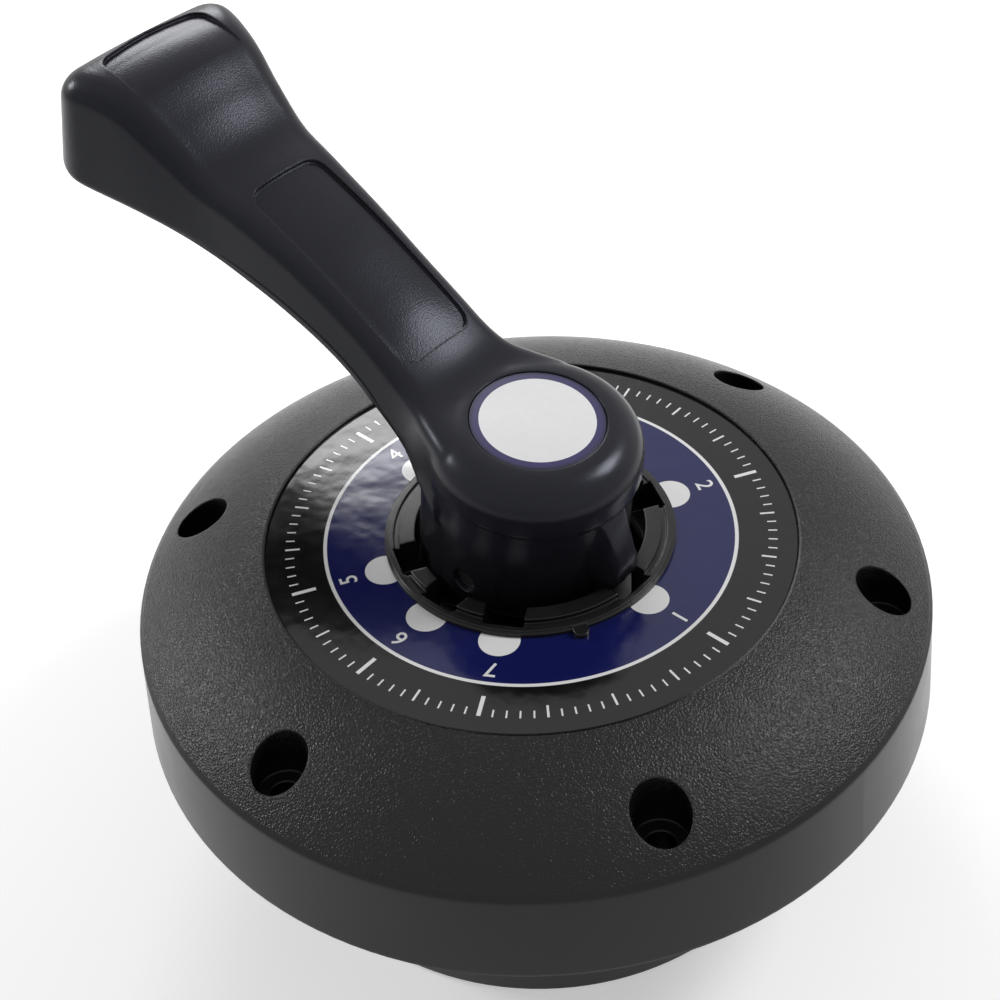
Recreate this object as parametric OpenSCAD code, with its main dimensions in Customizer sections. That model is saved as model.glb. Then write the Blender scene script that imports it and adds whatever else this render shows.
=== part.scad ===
// Top assembly of a seven-position multiport valve: cover, index collar, lever handle and key.
// Millimetres. The origin is the centre of the bolt circle on the cover's seat plane, and +Z runs
// up the stem. The handle points to -X. Every piece is drawn as it sits with the handle raised.

/* [Cover] */
// Radius of the cover at the crease between skirt and dome
cover_r = 100; // [90:1:115]
// How far the skirt's lower edge stands out from the crease
skirt_flare = 2; // [1:0.5:4]
// Height of the skirt from the seat plane to the crease
skirt_h = 25; // [22:1:30]
// Wall of the skirt
skirt_wall = 4; // [3:0.5:5]
// Wall of the dome
dome_wall = 5; // [4:0.5:6]
// Radius of the dome's arc, seen in section
dome_arc_r = 80; // [70:1:100]
// Height of the dome's inner edge over the crease
dome_rise = 16.5; // [14:0.5:19]
// Thickness of the stiffening ribs under the rim
rib_t = 2.5; // [2:0.5:4]
// Stiffening ribs between neighbouring bolts
ribs_per_bolt = 3; // [1:1:4]

/* [Bolts] */
// Number of cover bolts
bolt_count = 6; // [4:1:8]
// Width of the rim outside the pockets of the bolts
rim_land = 5.5; // [4:0.5:7]
// Radius of a bolt's clearance hole
bolt_hole_r = 3.5; // [3:0.1:4]
// Radius of the pocket for a bolt's head
bolt_head_r = 7; // [6.5:0.1:7.5]
// Thickness of the cover under a bolt's head
bolt_seat_t = 22; // [18:1:24]
// Wall of a bolt boss round its head pocket
boss_wall = 3.5; // [3.2:0.1:4]

/* [Spigot] */
// Gap in plan between the spigot and the pockets of the bolts
spigot_land = 0.5; // [0.5:0.5:3]
// Wall of the spigot
spigot_wall = 6; // [5.5:0.5:7]
// Length of the spigot below the seat plane
spigot_h = 10; // [9:1:14]
// Thickness of the cover's round seal
cover_seal_d = 5.2; // [4:0.1:5.4]
// How far the cover's round seal stands proud of the spigot
cover_seal_proud = 1.2; // [0.8:0.1:1.5]

/* [Dial] */
// Width of the dome between the label's recess and the pockets of the bolts
dome_land = 14.1; // [12:0.1:18]
// Depth of the recess that holds the label
dial_depth = 1.2; // [0.8:0.1:2]
// Thickness of the label
label_t = 0.4; // [0.2:0.1:0.6]

/* [Index collar] */
// Radial width of the collar, from its bore to the edge of its bead
collar_w = 7.6; // [7.4:0.1:9]
// Width of the collar's bead
bead_w = 2.1; // [1.8:0.1:2.5]
// Height of the bead over the label
bead_h = 1.6; // [1.2:0.1:2]
// Radius of the bore inside the teeth
tooth_bore_r = 28.7; // [27:0.1:32]
// Radial width of a tooth
tooth_w = 4; // [3.5:0.1:4.5]
// Height of the teeth over the label
tooth_h = 2.4; // [2:0.1:2.6]
// Width of an index slot
slot_w = 10; // [9:0.5:11]
// Depth of an index slot below the top of the teeth
slot_depth = 10; // [8:0.5:12]
// Depth of the collar's sleeve below the recess
sleeve_h = 10.2; // [9:0.1:12]

/* [Stem and key] */
// Radius of the stem
stem_r = 10; // [9:0.5:11]
// Depth of the handle pin's centre below the top of the collar's teeth
pin_drop = 0.6; // [0:0.1:2]
// Height of the stem over the pin
stem_over_pin = 10.5; // [9:0.5:11]
// Radius of the handle pin
pin_r = 3.2; // [3:0.1:3.5]
// Depth of the pin's ends in the hub's wall
pin_inset = 1.5; // [1:0.5:3]
// How much smaller in radius the key is than the spigot
key_side_gap = 7.7; // [6:0.1:12]
// Depth of the key's lower face below the seat plane
key_depth = 51; // [48:1:56]
// Thickness of the spoked seal
key_seal_t = 3; // [2.5:0.5:4]
// Width of the seal's spokes and rings
key_seal_w = 4; // [3:0.5:5]
// How far the spoked seal stands proud of the key
key_seal_proud = 1; // [0.5:0.1:1.5]
// Wall of the key on each side of the seal
key_lip = 1.5; // [1.2:0.1:2]
// Height of the key's rim
key_rim_h = 10; // [8:0.5:12]
// Wall of the key's roof
key_wall = 4; // [3:0.5:5]
// Wall of the key's hub round the spring's cup
cup_wall = 4.5; // [4:0.5:6]
// Depth of the hub's top below the seat plane
key_hub_depth = 12; // [11:0.5:14]
// Depth of the spring cup in the hub
spring_cup_h = 18; // [16:0.5:20]

/* [Bearings and stem seals] */
// Gap round the wear plate in its well
plate_side_gap = 1.4; // [0.5:0.1:2]
// Thickness of the wear plate
plate_t = 1.3; // [1:0.1:1.5]
// Thickness of the slip washer under the wear plate
slip_t = 1.2; // [0.8:0.1:1.5]
// Thickness of the well's floor
well_floor_t = 5; // [4:0.5:6]
// Wall of the stem bushing
bushing_wall = 2.4; // [2:0.1:2.6]
// Length of the stem bushing
bushing_h = 9.5; // [8:0.5:10]
// Thickness of the bushing's flange
bushing_flange_t = 1.5; // [1:0.1:2]
// Thickness of a stem seal
stem_seal_d = 3.8; // [3.4:0.1:3.8]
// Wall of the neck round the stem seals
neck_wall = 4; // [3.5:0.5:5]
// Thickness of the steel washer under the neck, and of the one in the spring cup
spring_washer_t = 1.5; // [1:0.1:2]
// Thickness of the nylon washer over the spring
spring_slip_t = 1.2; // [1:0.1:1.5]

/* [Spring] */
// Gap between the stem and the coil
coil_bore_gap = 2.55; // [1.5:0.05:3]
// Gap between the coil and the wall of its cup
coil_cup_gap = 1.45; // [1:0.05:2]
// Thickness of the spring's wire
wire_d = 3.5; // [3:0.1:3.8]
// Turns of the spring, with its closed ends
coil_turns = 5.5; // [5:0.5:6]

/* [Handle] */
// How far the raised handle's hub leans away from the lever, in degrees
handle_tilt = 7; // [5:0.5:8]
// Travel of the handle from raised to fully pressed, in degrees
handle_travel = 25; // [20:1:26]
// How far a cam's centre stands off the pin, which sets the key's lift
cam_throw = 15; // [13:0.5:15]
// How far the hub's cap stands out over the hub
cap_over = 1.5; // [0.5:0.1:2]
// Height of the cap's lower edge over the pin
cap_low = 23.5; // [22:0.5:25]
// Height of the cap's top over the pin
cap_top = 37.5; // [36:0.5:39]
// Radius of the cap's round shoulder
cap_round = 9; // [7:0.5:9.5]
// Gap between the hub and the collar's teeth
hub_gap = 4.2; // [3.5:0.1:5]
// Depth of the hub's wall below the pin
hub_drop = 6; // [5:0.5:7]
// Gap between the index nose and the bore it turns in
nose_gap = 1; // [0.8:0.1:2]
// Width of the index nose
nose_w = 8; // [6:0.5:8.5]
// Radius of the medallion in the cap
medal_r = 16.2; // [14:0.1:16.4]
// Thickness of the medallion
medal_t = 0.6; // [0.4:0.1:1]
// Length of the lever from the pin to its tip
lever_len = 142; // [120:1:165]
// Wall of the lever, which is hollow from below
lever_wall = 3.5; // [3:0.5:4]
// Depth of the recessed panels on top of the lever
panel_depth = 1; // [0.6:0.1:1.2]

/* [Hidden] */
$fn = 96;

// Clearances
run_gap = 0.08;      // a shaft in its bearing
seal_gap = 0.1;      // a round seal and the surface it wipes
seat_gap = 0.05;     // pieces of one body that slip into each other
plate_gap = 0.1;     // the turning plate over the washer it slips on
cam_gap = 0.05;      // a cam over the wear plate
cut = 1;             // how far a cutting shape runs past what it cuts

// Plan of the cover, inwards from the crease
skirt_r = cover_r + skirt_flare;
bolt_circle_r = cover_r - rim_land - bolt_head_r;
spigot_r = bolt_circle_r - bolt_head_r - spigot_land;
dial_r = bolt_circle_r - bolt_head_r - dome_land;
bead_r = tooth_bore_r + collar_w;

// Levels in the cover
crease_z = skirt_h;
dome_top_z = crease_z + dome_rise;
recess_z = dome_top_z - dial_depth;
label_z = recess_z + label_t;
tooth_top_z = label_z + tooth_h;
bead_top_z = label_z + bead_h;
ledge_z = label_z + bead_h * 0.7;
sleeve_z = recess_z - sleeve_h;
pin_z = tooth_top_z - pin_drop;
bead_overhang = 1.3;
collar_r = bead_r - bead_overhang;
tooth_out_r = tooth_bore_r + tooth_w;
well_r = tooth_bore_r + 0.2;
plate_r = well_r - plate_side_gap;

// The cams. The pin stands cam_h over the wear plate while the handle is raised.
mid_travel = handle_travel / 2;
plate_z = pin_z - 16;
cam_h = pin_z - plate_z;
cam_r = cam_h + cam_throw * sin(mid_travel) - cam_gap;
cam_angle = mid_travel - handle_tilt;
key_lift = 2 * cam_throw * sin(mid_travel);
well_z = plate_z - plate_t - plate_gap - slip_t;

// Levels in the neck, downwards
floor_low_z = well_z - well_floor_t;
bushing_r = stem_r + run_gap + bushing_wall;
bushing_low_z = well_z - bushing_h;
flange_w = 3;
stem_seal_r = stem_r + seal_gap + stem_seal_d / 2;
seal_bore_r = stem_r + 2 * seal_gap + stem_seal_d;
neck_low_z = bushing_low_z - 2 * (stem_seal_d + seat_gap) - seal_gap;
neck_r = seal_bore_r + neck_wall;
spring_top_z = neck_low_z - spring_washer_t - spring_slip_t;

// Plan of the key and the spring, outwards from the stem
coil_r = stem_r + coil_bore_gap + wire_d / 2;
cup_r = coil_r + wire_d / 2 + coil_cup_gap;
key_hub_r = cup_r + cup_wall;
key_r = spigot_r - key_side_gap;

// Levels in the key
key_face_z = -key_depth;
key_groove_z = key_face_z + key_seal_t - key_seal_proud;
key_rim_w = key_seal_w + 2 * key_lip;
hub_top_z = -key_hub_depth;
cup_z = hub_top_z - spring_cup_h;
spring_low_z = cup_z + spring_washer_t;
roof_edge_z = key_face_z + key_rim_h;
roof_top_z = hub_top_z - 3;
port_count = 6;
port_step = 360 / port_count;

// Bolts
bolt_floor_z = bolt_seat_t;
boss_r = bolt_head_r + boss_wall;
bolt_step = 360 / bolt_count;

// Index slots: six port positions and one between two of them
slot_angles = [0, 60, 120, 180, 240, 270, 300];

// Handle details
hub_r = tooth_bore_r - hub_gap;
cap_r = hub_r + cap_over;
shoulder_r = min(cap_round, cap_r - medal_r - 0.6);
nose_r = tooth_bore_r - nose_gap;
pin_len = 2 * (hub_r - pin_inset);
slot_half = stem_r + 0.4;
cheek_r = well_r - 2.9;
cheek_out = cheek_r - 3;
cavity_half = stem_r + 6;
cavity_top = cap_top - 6.5;
back_wall_r = tooth_bore_r - 1.5;
back_wall_low = -3;
lug_r = tooth_bore_r + 1.8;
lug_w = 10;
lug_low = 6.5;
nose_low = -1.1;
nose_top = 14;
lever_rib_t = 2.5;
medal_gap = 0.2;
medal_sink = 0.2;

// The lever is drawn 142 mm long. Past its root it stretches to the length that is set.
drawn_len = 142;
lever_root = 30;
function along(u) =
    u < lever_root ? u
    : lever_root + (u - lever_root) * (lever_len - lever_root) / (drawn_len - lever_root);
function stretched(p) = [for (q = p) [along(q[0]), q[1]]];
core_start = along(36);
rib_at = [for (u = [54, 71, 88, 105, 122]) along(u)];
panel = [along(31), along(85), 11.3, 4];
tip_pad = [along(117), along(131), 16.8, 4];

// Lever outline, from the hub to the tip, as [distance from the pin, height over the pin]
lever_top = stretched([[12, 33], [30, 41], [38, 45.6], [46, 49.4], [64, 57.4], [82, 63.1],
                       [95, 66.7], [106, 74], [116, 80.4], [126, 82.5], [136, 80.7],
                       [drawn_len, 78.2]]);
lever_low = stretched([[14, 14], [26, 21], [44, 33], [66, 40.8], [90, 45.7], [112, 48.8],
                       [126, 50.3], [drawn_len, 52.8]]);
// Lever plan, as [distance from the pin, half width]
lever_plan = stretched([[8, 21], [24, 17.8], [38, 16.8], [56, 16.8], [80, 18.3], [95, 20],
                        [106, 22.2], [120, 25.5], [132, 28.2], [drawn_len - 5, 28.6],
                        [drawn_len - 1.5, 26.5], [drawn_len, 22]]);

// Catmull-Rom curve through points
function spline_at(a, b, c, d, t) =
    b + (c - a) * t / 2 + (2 * a - 5 * b + 4 * c - d) * t * t / 2
    + (3 * b - a - 3 * c + d) * t * t * t / 2;
function clamp_point(p, i) = p[min(max(i, 0), len(p) - 1)];
function spline(p, steps) = concat(
    [for (i = [0 : len(p) - 2], k = [0 : steps - 1])
        spline_at(clamp_point(p, i - 1), p[i], p[i + 1], clamp_point(p, i + 2), k / steps)],
    [p[len(p) - 1]]);
function reversed(p) = [for (i = [len(p) - 1 : -1 : 0]) p[i]];
function mirrored(p) = concat(p, [for (q = reversed(p)) [q[0], -q[1]]]);
function lowered(p, d) = [for (q = p) [q[0], q[1] - d]];

// Centre of the dome's arc, from its two ends and its radius
dome_a = [cover_r, crease_z];
dome_b = [dial_r, dome_top_z];
dome_chord = dome_b - dome_a;
dome_half = norm(dome_chord) / 2;
dome_c = (dome_a + dome_b) / 2
    + [-dome_chord[1], dome_chord[0]] / (2 * dome_half) * sqrt(dome_arc_r ^ 2 - dome_half ^ 2);

// ---------------------------------------------------------------- shared shapes

module ring(r_in, r_out, low, high) {
    translate([0, 0, low])
        difference() {
            cylinder(r = r_out, h = high - low);
            translate([0, 0, -cut]) cylinder(r = r_in, h = high - low + 2 * cut);
        }
}

// Rectangle in a section, from one corner to the other
module area(x0, z0, x1, z1) {
    translate([x0, z0]) square([x1 - x0, z1 - z0]);
}

module round_seal(mean_r, d, z) {
    translate([0, 0, z]) rotate_extrude() translate([mean_r, 0]) circle(d = d);
}

module on_bolts() {
    for (i = [0 : bolt_count - 1])
        rotate([0, 0, (i + 0.5) * bolt_step]) translate([bolt_circle_r, 0, 0]) children();
}

// ---------------------------------------------------------------- cover

// Everything under the dome's outer surface
module cover_envelope() {
    polygon([[0, 0], [skirt_r, 0], [cover_r, crease_z], [0, crease_z]]);
    intersection() {
        translate(dome_c) circle(r = dome_arc_r, $fn = 360);
        area(0, crease_z - cut, cover_r, recess_z + 20);
    }
}

// Everything under the dome's inner surface
module cover_inside() {
    intersection() {
        translate(dome_c) circle(r = dome_arc_r - dome_wall, $fn = 360);
        area(0, -spigot_h - cut, skirt_r, recess_z - dome_wall);
    }
}

module cover_section() {
    difference() {
        cover_envelope();
        area(-cut, recess_z, dial_r, recess_z + 20);
        difference() {
            intersection() {
                cover_inside();
                polygon([[0, -cut], [skirt_r - skirt_wall, -cut],
                         [cover_r - skirt_wall, crease_z], [cover_r - skirt_wall, recess_z],
                         [0, recess_z]]);
            }
            area(spigot_r - spigot_wall, -2 * cut, spigot_r, recess_z);
        }
        area(-cut, -2 * cut, spigot_r - spigot_wall, crease_z / 2);
    }
    // spigot below the seat plane
    area(spigot_r - spigot_wall, -spigot_h, spigot_r, cut);
    // well and neck
    area(0, floor_low_z, collar_r + 4, recess_z);
    area(0, neck_low_z, neck_r, floor_low_z + cut);
}

module cover_cuts() {
    // seal groove in the spigot
    groove = cover_seal_d - cover_seal_proud + seat_gap;
    area(spigot_r - groove, -spigot_h / 2 - cover_seal_d / 2 - 0.3,
         spigot_r + cut, -spigot_h / 2 + cover_seal_d / 2 + 0.3);
    // collar seat, well, bushing and stem seal bores
    area(-cut, sleeve_z - seat_gap, collar_r + seat_gap, recess_z + cut);
    area(-cut, well_z, well_r, sleeve_z);
    area(-cut, well_z - bushing_flange_t, bushing_r + flange_w + 2 * seat_gap, well_z + cut);
    area(-cut, bushing_low_z, bushing_r + seat_gap, well_z);
    area(-cut, neck_low_z - cut, seal_bore_r, bushing_low_z);
}

// Bolt bosses and ribs in the hollow rim, between the spigot and the skirt
module rim_stiffeners() {
    intersection() {
        rotate_extrude()
            intersection() {
                union() {
                    translate(dome_c) circle(r = dome_arc_r - dome_wall / 2, $fn = 360);
                    area(0, 0, cover_r, crease_z / 2);
                }
                polygon([[spigot_r - spigot_wall / 2, 0], [skirt_r - skirt_wall / 2, 0],
                         [cover_r - skirt_wall / 2, crease_z],
                         [spigot_r - spigot_wall / 2, recess_z]]);
            }
        union() {
            on_bolts() cylinder(r = boss_r, h = recess_z);
            for (i = [0 : bolt_count - 1], k = [0 : ribs_per_bolt - 1])
                rotate([0, 0, (i + (k - (ribs_per_bolt - 1) / 2) / (ribs_per_bolt + 1)) * bolt_step])
                    translate([spigot_r - spigot_wall, -rib_t / 2, 0])
                        cube([skirt_r - spigot_r + spigot_wall, rib_t, recess_z]);
        }
    }
}

module cover() {
    color([0.06, 0.06, 0.065])
        difference() {
            union() {
                rotate_extrude()
                    difference() {
                        cover_section();
                        cover_cuts();
                    }
                rim_stiffeners();
            }
            on_bolts() {
                translate([0, 0, bolt_floor_z]) cylinder(r = bolt_head_r, h = recess_z);
                translate([0, 0, -cut]) cylinder(r = bolt_hole_r, h = bolt_floor_z + 2 * cut);
            }
        }
}

module cover_seal() {
    color([0.03, 0.03, 0.03])
        round_seal(spigot_r + cover_seal_proud - cover_seal_d / 2, cover_seal_d, -spigot_h / 2);
}

// ---------------------------------------------------------------- dial and index collar

module position_label() {
    color([0.10, 0.12, 0.38])
        ring(collar_r + 0.2, dial_r - 0.4, recess_z, label_z);
}

module index_collar() {
    color([0.07, 0.07, 0.075])
        difference() {
            union() {
                rotate_extrude() {
                    area(tooth_bore_r, sleeve_z, collar_r, ledge_z);
                    area(tooth_bore_r, ledge_z - cut, tooth_out_r, tooth_top_z);
                    // the bead lies on the label
                    area(collar_r - cut, label_z, bead_r - 0.6, bead_top_z);
                    area(bead_r - bead_w, label_z, bead_r, bead_top_z - 0.6);
                }
                // pip that marks the collar's position
                rotate([0, 0, -30]) translate([bead_r + 1, 0, label_z]) {
                    cylinder(r = 1.9, h = bead_h - 0.3);
                    translate([-2, -1.9, 0]) cube([2, 3.8, bead_h - 0.3]);
                }
            }
            for (a = slot_angles)
                rotate([0, 0, a])
                    translate([tooth_bore_r - 2, -slot_w / 2, tooth_top_z - slot_depth])
                        cube([bead_r - bead_w - tooth_bore_r + 2, slot_w, slot_depth + cut]);
        }
}

// ---------------------------------------------------------------- bearings and stem seals

module stem_bushing() {
    color([0.85, 0.85, 0.8]) {
        ring(stem_r + run_gap, bushing_r, bushing_low_z, well_z);
        ring(stem_r + run_gap, bushing_r + flange_w, well_z - bushing_flange_t, well_z);
    }
}

module upper_stem_seal() {
    color([0.03, 0.03, 0.03])
        round_seal(stem_seal_r, stem_seal_d, bushing_low_z - seat_gap - stem_seal_d / 2);
}

module lower_stem_seal() {
    color([0.03, 0.03, 0.03])
        round_seal(stem_seal_r, stem_seal_d, bushing_low_z - 2 * seat_gap - stem_seal_d * 1.5);
}

module neck_washer() {
    color([0.75, 0.75, 0.77])
        ring(stem_r + 0.3, neck_r - 0.4, neck_low_z - spring_washer_t, neck_low_z);
}

module spring_slip_washer() {
    color([0.9, 0.9, 0.88])
        ring(stem_r + 0.5, neck_r - 0.6, spring_top_z, spring_top_z + spring_slip_t);
}

module slip_washer() {
    color([0.9, 0.9, 0.88])
        ring(stem_r + 0.5, plate_r, well_z, well_z + slip_t);
}

module wear_plate() {
    color([0.75, 0.75, 0.77])
        ring(stem_r + 0.3, plate_r, plate_z - plate_t, plate_z);
}

// ---------------------------------------------------------------- key

// Sector of a ring, centred on +X
module sector(angle, r_in, r_out, low, high) {
    rotate([0, 0, -angle / 2])
        rotate_extrude(angle = angle) area(r_in, low, r_out, high);
}

module on_webs() {
    for (i = [0 : port_count - 1])
        rotate([0, 0, (i + 0.5) * port_step]) children();
}

// Outline of the key's cone and hub, before its chambers are cut
module key_cone_section() {
    polygon([[0, key_face_z], [key_r, key_face_z], [key_r, roof_edge_z],
             [key_hub_r, roof_top_z], [key_hub_r, hub_top_z], [0, hub_top_z]]);
}

// The chambers under the cone, one between each pair of webs
module key_chambers() {
    rim_in = key_r - key_rim_w;
    difference() {
        rotate_extrude()
            polygon([[key_hub_r, key_face_z - cut], [rim_in, key_face_z - cut],
                     [rim_in, roof_edge_z - key_wall], [key_hub_r, roof_top_z - key_wall]]);
        on_webs()
            translate([0, -key_rim_w / 2, key_face_z - 2 * cut])
                cube([key_r, key_rim_w, roof_top_z - key_face_z + 2 * cut]);
    }
}

// The spoked seal's plan, made wider by a clearance for the groove that holds it
module seal_plan(gap) {
    rim_out = key_r - key_lip + gap;
    hub_out = key_hub_r - key_lip + gap;
    width = key_seal_w + 2 * gap;
    difference() {
        circle(r = rim_out);
        circle(r = rim_out - width);
    }
    difference() {
        circle(r = hub_out);
        circle(r = hub_out - width);
    }
    on_webs()
        translate([hub_out - width / 2, -width / 2])
            square([rim_out - hub_out, width]);
}

module key() {
    window_in = key_hub_r + 3;
    color([0.06, 0.06, 0.065])
        difference() {
            union() {
                rotate_extrude() key_cone_section();
                translate([0, 0, cup_z - cut])
                    cylinder(r = stem_r, h = pin_z + stem_over_pin - cup_z + cut);
            }
            key_chambers();
            // groove for the spoked seal
            translate([0, 0, key_face_z - cut])
                linear_extrude(height = key_groove_z - key_face_z + cut) seal_plan(seat_gap);
            // spring cup round the stem
            ring(stem_r, cup_r, cup_z, hub_top_z + cut);
            // hole for the handle pin
            translate([0, 0, pin_z]) rotate([90, 0, 0])
                cylinder(r = pin_r + seat_gap, h = 4 * stem_r, center = true);
            // window that lets water from the top chamber into one port
            sector(port_step - 12, window_in, key_r - key_rim_w - 3, key_face_z + 5, hub_top_z);
            // crossings that join neighbouring chambers
            for (i = [1, 3, 4])
                rotate([0, 0, (i + 0.5) * port_step])
                    translate([window_in, -key_rim_w, key_face_z + 7])
                        cube([key_r - key_rim_w - 12 - window_in, 2 * key_rim_w, 8]);
        }
}

module key_seal() {
    color([0.03, 0.03, 0.03])
        translate([0, 0, key_groove_z - key_seal_t])
            linear_extrude(height = key_seal_t) seal_plan(0);
}

module cup_washer() {
    color([0.75, 0.75, 0.77])
        ring(stem_r + 0.3, cup_r - 0.3, cup_z, spring_low_z);
}

// ---------------------------------------------------------------- spring

coil_sides = 8;
turn_steps = 20;
coil_rings = round(coil_turns * turn_steps);
end_turns = 0.9;
coil_low = spring_low_z + wire_d / 2 + 0.02;
coil_high = spring_top_z - wire_d / 2 - 0.02;
coil_pitch = (coil_high - coil_low - 2 * end_turns * wire_d) / (coil_turns - 2 * end_turns);

// Height of the wire's centre after some turns: closed at both ends, open between
function coil_z(turns) =
    turns < end_turns ? coil_low + turns * wire_d
    : turns < coil_turns - end_turns
        ? coil_low + end_turns * wire_d + (turns - end_turns) * coil_pitch
    : coil_high - (coil_turns - turns) * wire_d;
function coil_point(i, k) =
    let (turns = i / turn_steps, a = 360 * turns, b = 360 * k / coil_sides,
         r = coil_r + wire_d / 2 * cos(b))
    [r * cos(a), r * sin(a), coil_z(turns) + wire_d / 2 * sin(b)];

module key_spring() {
    color([0.7, 0.7, 0.72])
        polyhedron(
            points = [for (i = [0 : coil_rings], k = [0 : coil_sides - 1]) coil_point(i, k)],
            faces = concat(
                [[for (k = [0 : coil_sides - 1]) k]],
                [for (i = [0 : coil_rings - 1], k = [0 : coil_sides - 1])
                    let (n = (k + 1) % coil_sides, a = i * coil_sides, b = a + coil_sides)
                    [a + k, b + k, b + n, a + n]],
                [[for (k = [coil_sides - 1 : -1 : 0]) coil_rings * coil_sides + k]]));
}

// ---------------------------------------------------------------- handle

// Places a shape, drawn round the pin with the lever along +X, as the raised handle holds it
module as_raised() {
    translate([0, 0, pin_z]) rotate([0, 0, 180]) rotate([0, -handle_tilt, 0]) children();
}

module handle_pin() {
    color([0.75, 0.75, 0.77])
        translate([0, 0, pin_z]) rotate([90, 0, 0])
            cylinder(r = pin_r, h = pin_len, center = true);
}

module cap_section() {
    area(0, cap_low, cap_r, cap_top - shoulder_r);
    area(0, cap_low, cap_r - shoulder_r, cap_top);
    translate([cap_r - shoulder_r, cap_top - shoulder_r]) circle(r = shoulder_r);
}

// Shape with the given side outline, from one side of the lever to the other
module from_side(outline) {
    rotate([90, 0, 0]) linear_extrude(height = 4 * cap_r, center = true) polygon(outline);
}

// What lies less than a depth under the lever's top
module top_skin(depth) {
    top = spline(lever_top, 3);
    from_side(concat(lowered(top, -5), reversed(lowered(top, depth))));
}

// Upright block with round corners, from [near end, far end, half width, corner radius]
module upright_panel(p) {
    linear_extrude(height = 2 * lever_len) {
        translate([p[0], -p[2] + p[3]]) square([p[1] - p[0], 2 * (p[2] - p[3])]);
        translate([p[0] + p[3], -p[2]]) square([p[1] - p[0] - 2 * p[3], 2 * p[2]]);
        for (u = [p[0] + p[3], p[1] - p[3]], v = [-p[2] + p[3], p[2] - p[3]])
            translate([u, v]) circle(r = p[3]);
    }
}

// The hollow under the lever, crossed by ribs
module lever_core() {
    low = lowered(spline(lever_low, 3), 4);
    roof = lowered(spline(lever_top, 3), lever_wall * 1.5);
    inside = [for (p = spline(lever_plan, 3))
                 if (p[0] > core_start && p[0] < lever_len - lever_wall) [p[0], p[1] - lever_wall]];
    difference() {
        intersection() {
            from_side(concat(roof, reversed(low)));
            linear_extrude(height = 2 * lever_len) polygon(mirrored(inside));
        }
        for (u = rib_at)
            translate([u, -2 * cap_r, 0]) cube([lever_rib_t, 4 * cap_r, 2 * lever_len]);
    }
}

module lever() {
    difference() {
        intersection() {
            from_side(concat(spline(lever_top, 3), reversed(spline(lever_low, 3))));
            linear_extrude(height = 2 * lever_len) polygon(mirrored(spline(lever_plan, 3)));
        }
        lever_core();
        intersection() {
            top_skin(panel_depth);
            union() {
                upright_panel(panel);
                upright_panel(tip_pad);
            }
        }
    }
}

// The two cheeks with the cams that bear on the wear plate
module cam_cheeks() {
    intersection() {
        for (side = [-1, 1])
            translate([0, side * (slot_half + cheek_out) / 2, 0]) rotate([90, 0, 0])
                linear_extrude(height = cheek_out - slot_half, center = true) {
                    translate(cam_throw * [cos(cam_angle), sin(cam_angle)]) circle(r = cam_r);
                    circle(r = pin_r + 6);
                }
        translate([0, 0, -cam_h - 5]) cylinder(r = cheek_r, h = cam_h + 5 + cut);
    }
}

module handle() {
    color([0.075, 0.075, 0.08])
        as_raised()
            difference() {
                union() {
                    rotate_extrude() intersection() {
                        cap_section();
                        area(0, 0, cap_r, cap_top);
                    }
                    translate([0, 0, -hub_drop]) cylinder(r = hub_r, h = hub_drop + cap_low + cut);
                    // wall under the lever's root
                    sector(140, hub_r - 3, back_wall_r, back_wall_low, cap_low + 2);
                    // sloping lug and index nose, opposite the lever
                    rotate([90, 0, 0]) linear_extrude(height = lug_w, center = true)
                        polygon([[-hub_r + 4, cap_low], [-hub_r, cap_low], [-lug_r, nose_top],
                                 [-lug_r, lug_low], [-hub_r + 4, lug_low]]);
                    translate([-nose_r, -nose_w / 2, nose_low])
                        cube([nose_r - hub_r + 4, nose_w, nose_top - nose_low]);
                    cam_cheeks();
                    lever();
                }
                // cavity for the stem
                translate([-cavity_half, -slot_half, -hub_drop - cut])
                    cube([2 * cavity_half, 2 * slot_half, hub_drop + cut + cavity_top]);
                rotate([90, 0, 0])
                    cylinder(r = pin_r + run_gap, h = 4 * cap_r, center = true);
                // recess for the medallion
                translate([0, 0, cap_top - medal_t - medal_sink])
                    cylinder(r = medal_r + medal_gap, h = 10);
            }
}

module hub_medallion() {
    color([0.9, 0.9, 0.92])
        as_raised()
            translate([0, 0, cap_top - medal_t - medal_sink]) cylinder(r = medal_r, h = medal_t);
}

cover();
index_collar();
position_label();
cover_seal();
stem_bushing();
upper_stem_seal();
lower_stem_seal();
neck_washer();
spring_slip_washer();
slip_washer();
wear_plate();
key();
key_seal();
cup_washer();
key_spring();
handle_pin();
handle();
hub_medallion();
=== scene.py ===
# Top assembly of a multiport valve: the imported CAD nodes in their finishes, with a modelled
# handle and medallion in place of the plain ones, and the print added to the dial.
import math
from math import cos, radians, sin

import bmesh
import bpy
from mathutils import Matrix, Vector


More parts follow.
